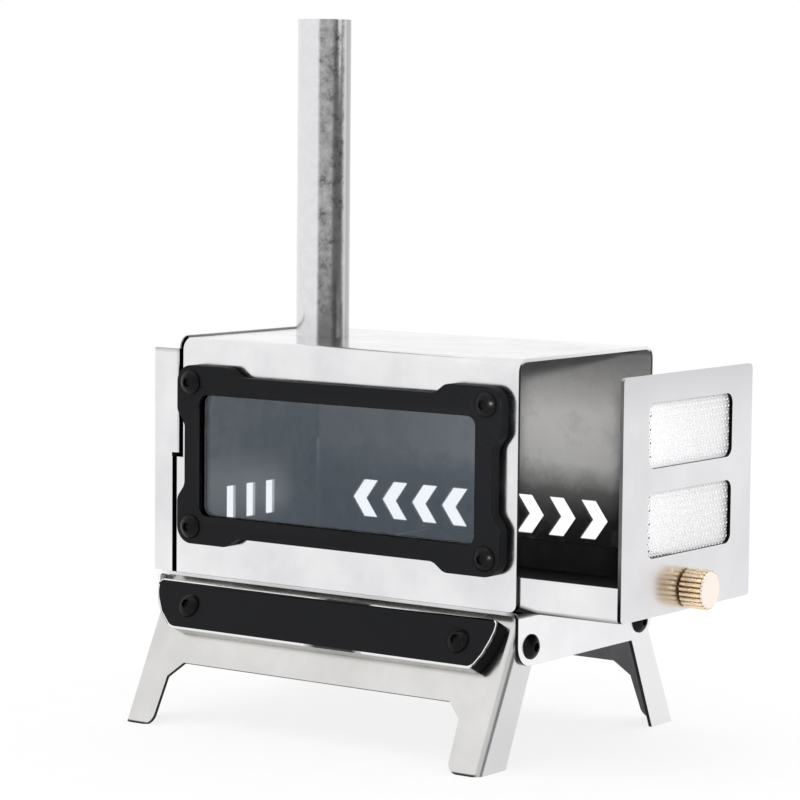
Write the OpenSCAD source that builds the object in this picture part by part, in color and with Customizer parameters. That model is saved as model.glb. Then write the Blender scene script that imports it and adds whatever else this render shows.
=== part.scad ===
// Small twig stove: a folded stainless firebox with a glass window, a slide-out drawer,
// a chimney tube and two folding leg plates.
// The working frame has x = 0 at the middle of the shell, y = 0 at its middle depth
// and z = 0 on the base plate. in_frame() moves it onto the ground at the end.

/* [Shell] */
// Length of the shell along x
shell_w = 128; // [112:1:150]
// Depth of the shell, front face to back face
shell_d = 75; // [68:1:90]
// Height of the shell above the base plate
shell_h = 75; // [70:1:90]
// Thickness of the stainless sheet
sheet = 1; // [0.8:0.1:1.2]
// Outside radius of the two long bends at the top
bend_r = 4; // [2.5:0.5:6]
// Radius of the lower right corners of the front and back panels
panel_corner_r = 2.5; // [1:0.5:4]

/* [Vents] */
// Height of a chevron vent
chevron_h = 12.4; // [9:0.2:15]
// Width of a chevron's stroke, measured along x
chevron_stroke = 6; // [4:0.5:7]
// How far a chevron's tip stands ahead of its arms
chevron_point = 4.6; // [3:0.2:5.2]
// Distance between neighbouring chevrons
chevron_pitch = 12.1; // [11:0.1:12.6]
// Gap between the two groups of chevrons
chevron_gap = 6.7; // [4:0.1:12]
// Height of the chevrons' middle above the base plate
chevron_z = 18.4; // [16:0.2:24]
// Width of an end slot
slot_w = 4.5; // [2:0.5:5]
// Height of an end slot
slot_h = 11; // [8:0.5:14]
// Distance between neighbouring end slots
slot_pitch = 10.2; // [7:0.2:14]
// Height of the end slots' middle above the base plate
slot_z = 19.8; // [15:0.2:30]

/* [End cover] */
// Height of the end cover
cover_h = 71.5; // [60:0.5:73]
// How far the cover's wall stands up above the top of the shell
cover_rise = 0.5; // [0.2:0.1:1.5]
// Gap between the shell's left edge and the cover's wall
cover_gap = 1.7; // [1.2:0.1:3]
// Length of the cover's front and rear flanges, from the wall's inner face
cover_flange = 10; // [7:0.2:14]
// Outside radius of the cover's bends
cover_bend_r = 2; // [1.5:0.1:3]
// Height up to which the shell's tabs and the cover's notches reach
seam_z = 37; // [25:0.5:50]
// How far a tab widens the lower half of the front and back panels
tab_out = 2.6; // [2.4:0.1:4]
// Gap between a tab and the cover's flange
seam_gap = 1.5; // [1.4:0.1:2.5]
// Depth of the lip along the notched edge of the cover's flanges
lip_d = 3.5; // [2.5:0.1:6]

/* [Window] */
// How much narrower the frame is than the shell, on each side
frame_side = 2.2; // [1.5:0.1:4]
// Distance from the shell's top and bottom to the frame, before it is raised
frame_margin = 9.2; // [7:0.1:11]
// How far the frame's middle lies above the shell's middle
frame_rise = 1.1; // [0:0.1:2]
// Thickness of the frame
frame_t = 4; // [3.6:0.1:6]
// Width of the frame's rails at the corner lobes
rail_w = 9.1; // [8.5:0.1:10.5]
// How far the corner lobes stand out from the rails
lobe_out = 3; // [1.5:0.1:4]
// Length of a lobe along x
lobe_x = 20; // [14:1:30]
// Length of a lobe along z
lobe_z = 14.5; // [12:0.5:18.5]
// Length of the slope at the end of a lobe
lobe_slope = 4; // [2:0.5:6]
// Outside radius of the frame's corners
frame_corner_r = 5.5; // [3:0.5:7]
// Corner radius of the window opening
opening_r = 3; // [2:0.5:5]
// Distance of the frame's screws from its outer edges
frame_screw_inset = 5.4; // [5:0.1:6]
// Thickness of the pane
glass_t = 2; // [1.5:0.1:3]
// How far the pane overlaps the opening on each side
glass_lap = 2.5; // [2:0.1:3]
// Thickness of the fibre seal behind the pane
seal_t = 0.5; // [0.3:0.1:1]

/* [Chimney] */
// Outside diameter of the chimney tube
chimney_d = 17; // [14:0.2:22]
// Wall of the chimney tube
chimney_wall = 0.8; // [0.6:0.1:1.5]
// Height of the chimney above the top of the shell
chimney_h = 101; // [60:1:140]
// Distance of the chimney from the shell's left edge
chimney_x = 26.8; // [16:0.2:60]
// Depth of the socket below the top of the shell
socket_d = 11; // [6:0.5:16]
// Wall of the socket
socket_wall = 1.2; // [1:0.1:2]
// Radial clearance of the chimney in its socket
chimney_play = 0.08; // [0.04:0.01:0.1]

/* [Drawer] */
// How far the drawer is pulled out
draw_out = 36; // [0:1:60]
// Length of the tray
tray_l = 118; // [90:1:122]
// Height of the tray's walls
tray_h = 10.3; // [8:0.1:11]
// Clearance of the drawer to the shell's panels, on each side
drawer_play = 0.2; // [0.1:0.05:0.5]
// Clearance of the drawer above the base plate
drawer_lift = 0.2; // [0.1:0.05:0.5]
// Thickness of the drawer front
front_t = 1.2; // [1:0.1:2]
// How far the drawer front stays inside the shell's outer faces, on each side
front_side = 0.5; // [0.2:0.05:0.7]
// Height of the drawer front
front_h = 71.3; // [66:0.1:72]
// Corner radius of the drawer front
front_r = 1.5; // [1:0.5:5]
// Width of the drawer front's windows
vent_w = 48; // [30:1:54]
// Height of each of the drawer front's windows
vent_h = 19.3; // [14:0.1:20]
// Distance between the two windows
vent_gap = 7.1; // [5:0.1:9]
// Distance from the upper window to the top of the drawer front
vent_top = 8.2; // [5:0.1:10]
// How far the windows lie behind the middle of the drawer front
vent_shift = 1.1; // [-3:0.1:3]
// Corner radius of the windows
vent_r = 3; // [1:0.5:5]
// Thickness of the mesh
mesh_t = 0.6; // [0.4:0.1:1]
// Width of a mesh wire
mesh_wire = 0.6; // [0.4:0.1:0.9]
// Distance between mesh wires
mesh_pitch = 2.6; // [2.5:0.1:3.5]
// How far the mesh sheet overlaps the windows
mesh_lap = 3; // [2:0.5:5]

/* [Knob] */
// Diameter of the knob
knob_d = 12; // [8:0.5:13]
// Length of the knob
knob_l = 8.2; // [6:0.2:14]
// Height of the knob's middle above the base plate
knob_z = 6.7; // [6.3:0.1:8]
// Depth of the knurl's grooves
knurl_depth = 0.4; // [0.2:0.05:0.6]
// Width of a knurl groove
knurl_w = 0.8; // [0.4:0.1:1]

/* [Base] */
// Thickness of the base plate
base_t = 1.2; // [1:0.1:1.6]
// How far the base's left end lies inside the cover's flanges
base_in = 1.15; // [0:0.05:3]
// How far the base reaches past the shell's right end
base_out = 1; // [0:0.1:3]
// Depth of the end flanges below the top of the base plate
base_drop = 16.5; // [15:0.1:20]
// Outside radius of the base plate's bends
base_bend_r = 2.2; // [1.8:0.1:3]
// Radius of the end flanges' lower corners
base_corner_r = 6.5; // [3:0.5:8]
// Distance of the leg pivots from the front and back edges
pivot_in = 6.9; // [6:0.1:9]
// Depth of the leg pivots below the top of the base plate
pivot_drop = 10.8; // [10.2:0.1:11.5]

/* [Legs] */
// Height of the base plate's top above the ground
stand_h = 46.4; // [42:0.2:52]
// Angle of the leg plates from upright
leg_tilt = 26; // [22:0.5:28]
// Thickness of the leg plates
leg_t = 1.2; // [1:0.1:1.6]
// Distance from the pivot to the outer face of the leg plate
leg_face = 7; // [6.6:0.1:7.6]
// Clearance between a leg and the base flange beside it
leg_play = 0.15; // [0.1:0.05:0.4]
// Clearance between the leg plate's top and the base, which is its stop
leg_stop = 0.05; // [0.02:0.01:0.2]
// Distance from the pivot down to the lower edge of the leg's apron
apron = 21.5; // [19:0.1:24]
// Width of a leg at its shoulder
leg_w = 12.1; // [9:0.1:15]
// Width of a leg at the foot
foot_w = 11.6; // [7:0.1:12]
// Width and height of the sloped corner between apron and leg
shoulder = 5; // [3:0.2:8]
// Radius of the foot's inner corner
foot_r = 4; // [2:0.5:6]
// Width of the leg's side flange at the pivot
flange_top = 11.8; // [11.6:0.1:13]
// Width of the leg's side flange at the foot
flange_foot = 13.2; // [10:0.1:14]
// Outside radius of the leg's two folds
leg_bend_r = 3; // [2.2:0.1:3.6]

/* [Bars] */
// Distance from the leg's outer face to the end of the bar
bar_side = 3; // [1:0.1:10]
// How far the bar lies left of the middle of the leg
bar_shift = 1.3; // [0:0.05:2]
// Thickness of the bar
bar_t = 5; // [3.5:0.1:5.5]
// Height of the bar's top above the pivot, along the leg plate
bar_top = 3.8; // [2:0.1:4.5]
// Height of the bar
bar_h = 15.8; // [12:0.1:16.5]
// Height of the bar's upright ends
bar_end_h = 3.6; // [2:0.1:7]
// How far the bar's lower right corner is cut back along x
bar_cut_right = 5; // [3:0.5:12]
// How far the bar's lower left corner is cut back along x
bar_cut_left = 9.5; // [3:0.5:12]
// Distance of the bar's screws from the leg's outer faces
bar_screw_in = 16.5; // [14:0.1:22]

/* [Screws] */
// Thread diameter of the screws
screw_d = 4; // [3:0.1:4.4]
// Diameter of the button heads
head_d = 7.6; // [6.5:0.1:8.4]
// Height of the button heads
head_h = 2.2; // [1.6:0.1:2.6]
// Width of the hexagon sockets across their flats
socket_af = 2.5; // [2:0.1:3]
// Depth of the hexagon sockets
socket_deep = 1.3; // [0.8:0.1:1.5]
// Width of the nuts across their flats
nut_af = 7; // [6:0.1:7.6]
// Thickness of the nuts
nut_t = 3.2; // [2.4:0.1:4]
// Length of thread that stands out past a nut
thread_out = 0.8; // [0.3:0.1:1.5]
// Clearance between a thread and the hole that it passes through
hole_play = 0.15; // [0.05:0.05:0.3]
// Clearance between a thread and its nut
thread_play = 0.05; // [0.02:0.01:0.1]
// Clearance of a leg on its pivot screw
pivot_play = 0.08; // [0.03:0.01:0.1]

/* [Hidden] */
$fn = 64;
steel = "gainsboro";
black = "dimgray";
through = 0.5;

shell_left = -shell_w / 2;
shell_right = shell_w / 2;
front_y = -shell_d / 2;
wall_x = shell_left - cover_gap;
base_left = wall_x - cover_flange + base_in;
base_right = shell_right + base_out;
tab_x = shell_left - tab_out;
notch_x = tab_x - seam_gap;
mid_x = (tab_x + shell_right) / 2;

frame_w = shell_w - 2 * frame_side;
frame_h = shell_h - 2 * frame_margin;
frame_z = shell_h / 2 + frame_rise;
opening_w = frame_w - 2 * rail_w;
opening_h = frame_h - 2 * rail_w;
glass_w = opening_w + 2 * glass_lap;
glass_h = opening_h + 2 * glass_lap;
glass_r = opening_r + 0.5;
glass_play = 0.3;
crown_in = 1.4;
rear_edge = wall_x - cover_bend_r + sqrt(pow(cover_bend_r, 2) - pow(cover_bend_r - sheet, 2)) + 0.03;
frame_screw_x = frame_w / 2 - frame_screw_inset;
frame_screw_z = frame_h / 2 - frame_screw_inset;
frame_grip = frame_t + sheet;

flue_x = shell_left + chimney_x;
flue_r = chimney_d / 2;
flue_bore_r = flue_r - chimney_wall;
flue_hole_r = flue_r + chimney_play;
socket_lip = sheet;
chimney_base_z = shell_h - socket_d + socket_lip;

drawer_w = shell_d - 2 * sheet - 2 * drawer_play;
front_w = shell_d - 2 * front_side;
front_x = shell_right + draw_out;
tray_x = front_x - front_t;
knob_screw_grip = front_t + sheet;
knob_thread = knob_l * 0.6;
vent_z = drawer_lift + front_h - vent_top - vent_h;
vent_zs = [vent_z, vent_z - vent_gap - vent_h];
mesh_gap = mesh_pitch - mesh_wire;
mesh_cols = floor((vent_w - mesh_wire) / mesh_pitch);
mesh_rows = floor((vent_h - mesh_wire) / mesh_pitch);
knurl_count = floor(PI * knob_d / (2 * knurl_w));

pivot_y = shell_d / 2 - pivot_in;
leg_right = base_right - base_t - leg_play;
leg_left = base_left + base_t + leg_play;
leg_span = leg_right - leg_left;
leg_mid_x = (leg_right + leg_left) / 2;
foot_along = (stand_h - pivot_drop + leg_face * sin(leg_tilt)) / cos(leg_tilt);
leg_top = leg_face + pivot_drop;
shoulder_z = apron + shoulder;
flange_in = flange_top - leg_face;
foot_in = flange_foot - leg_face;
flange_start = flange_in + 2;
pivot_grip = base_t + leg_play + leg_t + leg_play;
screw_r = screw_d / 2;
dome_h = head_h - 0.4;
dome_r = (pow(head_d / 2, 2) + dome_h * dome_h) / (2 * dome_h);
head_peak = head_h - dome_r + sqrt(dome_r * dome_r - pow(socket_af / 2, 2));
hole_r = screw_r + hole_play;

bar_w = leg_span - 2 * bar_side;
bar_screw_x = leg_span / 2 - bar_screw_in;
bar_mid_z = bar_top - bar_h / 2;
bar_grip = bar_t + leg_t;

// The part's own frame has its origin on the ground, under the middle of its box.
reach_left = min(base_left - head_peak, wall_x - cover_flange);
reach_right = front_x + knob_l;
frame_mid_x = (reach_left + reach_right) / 2;

module in_frame() {
    translate([-frame_mid_x, 0, stand_h]) children();
}

// Outlines

module rounded_rect(w, h, r) {
    square([w - 2 * r, h], center = true);
    square([w, h - 2 * r], center = true);
    for (sx = [-1, 1], sy = [-1, 1])
        translate([sx * (w / 2 - r), sy * (h / 2 - r)]) circle(r);
}

// Quarter of a bent sheet, with its outer corner at the origin, filling +x and +y.
module bend_quarter(r, t) {
    intersection() {
        translate([r, r]) difference() {
            circle(r);
            circle(r - t);
        }
        square(r);
    }
}

// Chevron that points along +x, with its tip at the origin.
module chevron() {
    arm = chevron_point + chevron_stroke;
    polygon([
        [0, 0], [-chevron_point, chevron_h / 2], [-arm, chevron_h / 2],
        [-chevron_stroke, 0], [-arm, -chevron_h / 2], [-chevron_point, -chevron_h / 2]
    ]);
}

// Turns a flat outline so that its x and y become the x and z of an upright panel,
// with thickness t running along +y from y0.
module upright(y0, t) {
    translate([0, y0 + t, 0]) rotate([90, 0, 0]) linear_extrude(t) children();
}

// Turns a flat outline so that its x and y become the y and z of an end panel,
// with thickness t running along +x from x0.
module endwise(x0, t) {
    translate([x0, 0, 0]) rotate([90, 0, 90]) linear_extrude(t) children();
}

// Fasteners

// Button-head screw whose head seats on z = 0, with its thread running down -z.
module button_screw(grip) {
    difference() {
        union() {
            intersection() {
                cylinder(d = head_d, h = head_h);
                translate([0, 0, head_h - dome_r]) sphere(dome_r);
            }
            translate([0, 0, -grip]) cylinder(d = screw_d, h = grip + through);
        }
        translate([0, 0, head_h - socket_deep])
            cylinder(d = socket_af / cos(30), h = head_h, $fn = 6);
    }
}

// Hexagon nut that seats on z = 0 and stands down -z.
module hex_nut() {
    translate([0, 0, -nut_t]) difference() {
        cylinder(d = nut_af / cos(30), h = nut_t, $fn = 6);
        translate([0, 0, -through])
            cylinder(r = screw_r + thread_play, h = nut_t + 2 * through);
    }
}

// Base

module base_flange_outline() {
    r = base_corner_r;
    half = shell_d / 2;
    translate([-half, -base_drop + r]) square([shell_d, base_drop - r - base_bend_r]);
    translate([-half + r, -base_drop]) square([shell_d - 2 * r, r]);
    for (s = [-1, 1])
        translate([s * (half - r), -base_drop + r]) circle(r);
}

module base_plate() {
    color(steel) in_frame() difference() {
        union() {
            translate([base_left + base_bend_r, front_y, -base_t])
                cube([base_right - base_left - 2 * base_bend_r, shell_d, base_t]);
            endwise(base_right - base_t, base_t) base_flange_outline();
            endwise(base_left, base_t) base_flange_outline();
            for (s = [0, 1]) translate([s ? base_right : base_left, shell_d / 2, 0])
                mirror([s, 0, 0]) rotate([90, 0, 0]) linear_extrude(shell_d)
                    mirror([0, 1]) bend_quarter(base_bend_r, base_t);
        }
        for (s = [-1, 1])
            translate([base_left - through, s * pivot_y, -pivot_drop]) rotate([0, 90, 0])
                cylinder(r = hole_r, h = base_right - base_left + 2 * through);
    }
}

// Shell and its left end

module shell_section() {
    half = shell_d / 2;
    for (s = [0, 1]) mirror([s, 0]) {
        translate([-half, 0]) square([sheet, shell_h - bend_r]);
        translate([-half, shell_h]) mirror([0, 1]) bend_quarter(bend_r, sheet);
    }
    translate([-half + bend_r, shell_h - sheet]) square([shell_d - 2 * bend_r, sheet]);
}

// Tab at the left edge of a panel, from x to the panel.
module panel_tab(x) {
    translate([x, front_y]) square([shell_left - x + through, sheet]);
}

module panel_corner_cut() {
    r = panel_corner_r;
    difference() {
        translate([-r, -through]) square([r + through, r + through]);
        translate([-r, r]) circle(r);
    }
}

module shell() {
    color(steel) in_frame() difference() {
        union() {
            endwise(shell_left, shell_w) shell_section();
            for (s = [0, 1]) mirror([0, s, 0]) linear_extrude(seam_z) panel_tab(tab_x);
            mirror([0, 1, 0]) linear_extrude(shell_h - bend_r) panel_tab(rear_edge);
        }
        upright(front_y - through, sheet + 2 * through) {
            translate([mid_x, frame_z]) rounded_rect(opening_w, opening_h, opening_r);
            for (sx = [-1, 1], sz = [-1, 1])
                translate([mid_x + sx * frame_screw_x, frame_z + sz * frame_screw_z]) circle(hole_r);
        }
        upright(-front_y - sheet - through, sheet + 2 * through)
            for (s = [0, 1], i = [0 : 3])
                translate([mid_x, chevron_z]) mirror([s, 0])
                    translate([chevron_gap / 2 + chevron_stroke + chevron_point + i * chevron_pitch, 0])
                        chevron();
        upright(front_y - through, shell_d + 2 * through)
            translate([shell_right, 0]) panel_corner_cut();
        translate([flue_x, 0, shell_h - sheet - through])
            cylinder(r = flue_hole_r, h = sheet + 2 * through);
    }
}

module cover_section() {
    half = shell_d / 2;
    r = cover_bend_r;
    for (s = [0, 1]) mirror([0, s]) {
        translate([wall_x, -half]) mirror([1, 0]) bend_quarter(r, sheet);
        translate([wall_x - cover_flange, -half]) square([cover_flange - r, sheet]);
    }
    translate([wall_x - sheet, -half + r]) square([sheet, shell_d - 2 * r]);
}

// Lip along the notched edge of the cover's front flange.
module cover_lip() {
    r = sheet + 0.2;
    translate([notch_x, front_y]) mirror([1, 0]) {
        bend_quarter(r, sheet);
        translate([0, r]) square([sheet, lip_d - r]);
    }
}

// Cut that frees the shell's tab and rounds the flange's edge into the lip.
module cover_notch(depth) {
    r = sheet + 0.2;
    translate([notch_x, front_y - through]) square([wall_x - notch_x + through, depth + through]);
    translate([notch_x, front_y]) mirror([1, 0]) difference() {
        translate([-through, -through]) square(r + through);
        translate([r, r]) circle(r);
    }
}

// Upper edge of the cover's wall, which follows the shell's outline and stands a little above it.
module cover_crown() {
    crown_w = shell_d - 2 * crown_in;
    flat = shell_d - 2 * cover_bend_r;
    crown_h = shell_h + cover_rise;
    intersection() {
        translate([0, crown_h / 2]) rounded_rect(crown_w, crown_h, bend_r);
        translate([-crown_w / 2, cover_h]) square([crown_w, crown_h]);
    }
    translate([-flat / 2, cover_h - sheet]) square([flat, sheet + through]);
}

module end_cover() {
    notch_d = cover_bend_r + 0.2;
    color(steel) in_frame() difference() {
        union() {
            linear_extrude(cover_h) cover_section();
            endwise(wall_x - sheet, sheet) cover_crown();
            for (s = [0, 1]) mirror([0, s, 0]) linear_extrude(seam_z) cover_lip();
        }
        for (i = [-1 : 1])
            translate([wall_x - sheet - through, i * slot_pitch - slot_w / 2, slot_z - slot_h / 2])
                cube([sheet + 2 * through, slot_w, slot_h]);
        for (s = [0, 1]) mirror([0, s, 0])
            linear_extrude(2 * seam_z, center = true) cover_notch(notch_d);
    }
}

// Chimney and its socket

module flue_collar() {
    collar_h = socket_d - sheet;
    color(steel) in_frame() translate([flue_x, 0, shell_h - socket_d]) difference() {
        cylinder(r = flue_hole_r + socket_wall, h = collar_h);
        translate([0, 0, socket_lip]) cylinder(r = flue_hole_r, h = collar_h);
        translate([0, 0, -through]) cylinder(r = flue_bore_r, h = collar_h);
    }
}

module chimney() {
    tube_h = shell_h + chimney_h - chimney_base_z;
    color("silver") in_frame() translate([flue_x, 0, chimney_base_z]) difference() {
        cylinder(r = flue_r, h = tube_h);
        translate([0, 0, -through]) cylinder(r = flue_bore_r, h = tube_h + 2 * through);
    }
}

// Window

module lobe_outline() {
    x1 = frame_w / 2;
    z1 = frame_h / 2;
    polygon([
        [x1 - lobe_x, 0], [x1 - lobe_out, 0], [x1 - lobe_out, z1 - lobe_z - lobe_slope],
        [x1, z1 - lobe_z], [x1, z1], [x1 - lobe_x, z1], [x1 - lobe_x - lobe_slope, z1 - lobe_out],
        [x1 - lobe_x - lobe_slope, 0]
    ]);
}

module frame_outline() {
    r = frame_corner_r;
    square([frame_w - 2 * lobe_out, frame_h - 2 * lobe_out], center = true);
    for (sx = [0, 1], sz = [0, 1]) mirror([sx, 0]) mirror([0, sz]) {
        difference() {
            lobe_outline();
            translate([frame_w / 2 - r, frame_h / 2 - r]) square(r + through);
        }
        translate([frame_w / 2 - r, frame_h / 2 - r]) circle(r);
    }
}

module window_frame() {
    rebate = seal_t + glass_t;
    color(black) in_frame() translate([mid_x, 0, frame_z]) difference() {
        upright(front_y - frame_t, frame_t) frame_outline();
        upright(front_y - frame_t - through, frame_t + 2 * through) {
            rounded_rect(opening_w, opening_h, opening_r);
            for (sx = [-1, 1], sz = [-1, 1])
                translate([sx * frame_screw_x, sz * frame_screw_z]) circle(hole_r);
        }
        upright(front_y - rebate, rebate + through)
            rounded_rect(glass_w + 2 * glass_play, glass_h + 2 * glass_play, glass_r + glass_play);
    }
}

module window_glass() {
    color("slategray", 0.5) in_frame() translate([mid_x, 0, frame_z])
        upright(front_y - seal_t - glass_t, glass_t) rounded_rect(glass_w, glass_h, glass_r);
}

module glass_seal() {
    color("ivory") in_frame() translate([mid_x, 0, frame_z])
        upright(front_y - seal_t, seal_t) difference() {
            rounded_rect(glass_w, glass_h, glass_r);
            rounded_rect(opening_w, opening_h, opening_r);
        }
}

module at_frame_screws(y) {
    for (sx = [-1, 1], sz = [-1, 1])
        translate([mid_x + sx * frame_screw_x, y, frame_z + sz * frame_screw_z])
            rotate([90, 0, 0]) children();
}

module frame_screws() {
    color(black) in_frame() at_frame_screws(front_y - frame_t)
        button_screw(frame_grip + nut_t + thread_out);
}

module frame_nuts() {
    color(black) in_frame() at_frame_screws(front_y + sheet) hex_nut();
}

// Pivots

module at_pivots(inset) {
    for (sy = [-1, 1]) {
        translate([base_right - inset, sy * pivot_y, -pivot_drop]) rotate([0, 90, 0]) children();
        translate([base_left + inset, sy * pivot_y, -pivot_drop]) rotate([0, -90, 0]) children();
    }
}

module pivot_screws() {
    color(black) in_frame() at_pivots(0) button_screw(pivot_grip + nut_t + thread_out);
}

module pivot_nuts() {
    color(black) in_frame() at_pivots(pivot_grip) hex_nut();
}

// Drawer

module drawer_tray() {
    inner_w = drawer_w - 2 * sheet;
    color(steel) in_frame() difference() {
        translate([tray_x - tray_l, -drawer_w / 2, drawer_lift]) cube([tray_l, drawer_w, tray_h]);
        translate([tray_x - tray_l + sheet, -inner_w / 2, drawer_lift + sheet])
            cube([tray_l - 2 * sheet, inner_w, tray_h]);
        translate([tray_x - sheet - through, 0, knob_z]) rotate([0, 90, 0])
            cylinder(r = hole_r, h = sheet + 2 * through);
    }
}

module drawer_front() {
    color(steel) in_frame() difference() {
        endwise(tray_x, front_t)
            translate([0, drawer_lift + front_h / 2]) rounded_rect(front_w, front_h, front_r);
        for (z = vent_zs)
            endwise(tray_x - through, front_t + 2 * through)
                translate([vent_shift, z + vent_h / 2]) rounded_rect(vent_w, vent_h, vent_r);
        translate([tray_x - through, 0, knob_z]) rotate([0, 90, 0])
            cylinder(r = hole_r, h = front_t + 2 * through);
    }
}

module mesh_screen() {
    sheet_h = 2 * vent_h + vent_gap + 2 * mesh_lap;
    net_w = mesh_cols * mesh_pitch - mesh_wire;
    net_h = mesh_rows * mesh_pitch - mesh_wire;
    color("silver") in_frame() endwise(tray_x - mesh_t, mesh_t) difference() {
        translate([vent_shift - vent_w / 2 - mesh_lap, vent_zs[1] - mesh_lap])
            square([vent_w + 2 * mesh_lap, sheet_h]);
        for (z = vent_zs, i = [0 : mesh_cols - 1], j = [0 : mesh_rows - 1])
            translate([vent_shift - net_w / 2 + i * mesh_pitch, z + (vent_h - net_h) / 2 + j * mesh_pitch])
                square(mesh_gap);
    }
}

module drawer_knob() {
    hole_l = knob_thread + thread_out;
    color("goldenrod") in_frame() translate([front_x, 0, knob_z]) rotate([0, 90, 0]) difference() {
        linear_extrude(knob_l) difference() {
            circle(d = knob_d);
            for (i = [0 : knurl_count - 1])
                rotate(i * 360 / knurl_count)
                    translate([knob_d / 2, 0]) square([2 * knurl_depth, knurl_w], center = true);
        }
        translate([0, 0, -through]) cylinder(r = screw_r + thread_play, h = hole_l + through);
    }
}

module knob_screw() {
    color(black) in_frame() translate([tray_x - sheet, 0, knob_z]) rotate([0, -90, 0])
        button_screw(knob_screw_grip + knob_thread);
}

// Legs

// Carries a piece from the leg's own frame to its place at the front of the base. In the
// leg's frame the plate is upright and the origin lies on the pivot, at mid width.
module at_front_leg() {
    translate([leg_mid_x, -pivot_y, -pivot_drop]) rotate([-leg_tilt, 0, 0]) children();
}

module at_rear_leg() {
    mirror([0, 1, 0]) at_front_leg() children();
}

module leg_plate_outline() {
    half = leg_span / 2;
    x_foot = half - foot_w;
    x_leg = half - leg_w;
    x_apron = x_leg - shoulder;
    difference() {
        translate([-half, -foot_along]) square([leg_span, foot_along + leg_top]);
        polygon([
            [-x_foot, -foot_along - through], [-x_foot, -foot_along + foot_r],
            [-x_leg, -shoulder_z], [-x_apron, -apron],
            [x_apron, -apron], [x_leg, -shoulder_z],
            [x_foot, -foot_along + foot_r], [x_foot, -foot_along - through]
        ]);
        for (s = [0, 1]) mirror([s, 0]) difference() {
            translate([x_foot - through, -foot_along - through]) square(foot_r + through);
            translate([x_foot + foot_r, -foot_along + foot_r]) circle(foot_r);
        }
        for (s = [-1, 1]) translate([s * bar_screw_x, bar_mid_z]) circle(hole_r);
    }
}

module leg_flange_outline() {
    difference() {
        union() {
            polygon([
                [-leg_face, -foot_along - leg_face], [-leg_face, flange_in],
                [0, flange_in], [flange_in, 0],
                [flange_in, -flange_start], [foot_in, -foot_along], [foot_in, -foot_along - leg_face]
            ]);
            circle(flange_in);
        }
        circle(screw_r + pivot_play);
    }
}

// What a fold leaves away from the sharp corner between the leg's plate and its right flange.
module leg_fold_cut() {
    r = leg_bend_r;
    translate([leg_span / 2 - r, -leg_face]) difference() {
        translate([0, -through]) square([r + through, r + through]);
        translate([0, r]) circle(r);
    }
}

// What a fold adds inside the corner between the leg's plate and its right flange.
module leg_fold_fill() {
    r = leg_bend_r;
    translate([leg_span / 2 - r, -leg_face + r]) difference() {
        translate([-0.1, -r + leg_t - 0.1]) square([r - leg_t + 0.2, r - leg_t + 0.2]);
        circle(r - leg_t);
        translate([-r, 0]) square([2 * r, r]);
        translate([-r, -r]) square([r, 2 * r]);
    }
}

module leg_solid() {
    half = leg_span / 2;
    difference() {
        union() {
            upright(-leg_face, leg_t) leg_plate_outline();
            endwise(half - leg_t, leg_t) leg_flange_outline();
            endwise(-half, leg_t) leg_flange_outline();
            for (s = [0, 1]) mirror([s, 0, 0]) translate([0, 0, -foot_along - leg_face])
                linear_extrude(foot_along + leg_face + flange_in) leg_fold_fill();
        }
        for (s = [0, 1]) mirror([s, 0, 0])
            linear_extrude(4 * foot_along, center = true) leg_fold_cut();
    }
}

// The leg's feet are cut level with the ground, and its top level with the base. Its top
// corners are cut back to clear the base plate's bends.
module front_leg_solid() {
    side = leg_span + shell_d;
    relief = base_bend_r - base_t;
    difference() {
        at_front_leg() leg_solid();
        for (x = [leg_left - side, leg_right - relief])
            translate([x, -side, -base_bend_r - leg_stop]) cube([side + relief, side, side]);
        translate([leg_mid_x - side / 2, -side, -stand_h - side]) cube([side, side, side]);
        translate([leg_mid_x - side / 2, -side, -base_t - leg_stop]) cube([side, side, side]);
    }
}

// Outline of one end of the bar, from its top corner down, cut back by c at the bottom.
function bar_end(c) = [
    [bar_w / 2, bar_top], [bar_w / 2, bar_top - bar_end_h],
    [bar_w / 2 - 0.15 * c, bar_top - bar_end_h - 0.26 * (bar_h - bar_end_h)],
    [bar_w / 2 - 0.45 * c, bar_top - bar_end_h - 0.62 * (bar_h - bar_end_h)],
    [bar_w / 2 - c, bar_top - bar_h]
];

module bar_solid() {
    right = bar_end(bar_cut_right);
    left = bar_end(bar_cut_left);
    upright(-leg_face - bar_t, bar_t) difference() {
        translate([-bar_shift, 0])
            polygon(concat(right, [for (i = [4:-1:0]) [-left[i][0], left[i][1]]]));
        for (s = [-1, 1]) translate([s * bar_screw_x, bar_mid_z]) circle(hole_r);
    }
}

module at_bar_screws(y) {
    for (s = [-1, 1])
        translate([s * bar_screw_x, y, bar_mid_z]) rotate([90, 0, 0]) children();
}

module bar_screws_solid() {
    at_bar_screws(-leg_face - bar_t) button_screw(bar_grip + nut_t + thread_out);
}

module bar_nuts_solid() {
    at_bar_screws(-leg_face + leg_t) hex_nut();
}

module front_leg() {
    color(steel) in_frame() front_leg_solid();
}

module front_bar() {
    color(black) in_frame() at_front_leg() bar_solid();
}

module front_bar_screws() {
    color(black) in_frame() at_front_leg() bar_screws_solid();
}

module front_bar_nuts() {
    color(black) in_frame() at_front_leg() bar_nuts_solid();
}

module rear_leg() {
    color(steel) in_frame() mirror([0, 1, 0]) front_leg_solid();
}

module rear_bar() {
    color(black) in_frame() at_rear_leg() bar_solid();
}

module rear_bar_screws() {
    color(black) in_frame() at_rear_leg() bar_screws_solid();
}

module rear_bar_nuts() {
    color(black) in_frame() at_rear_leg() bar_nuts_solid();
}

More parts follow.
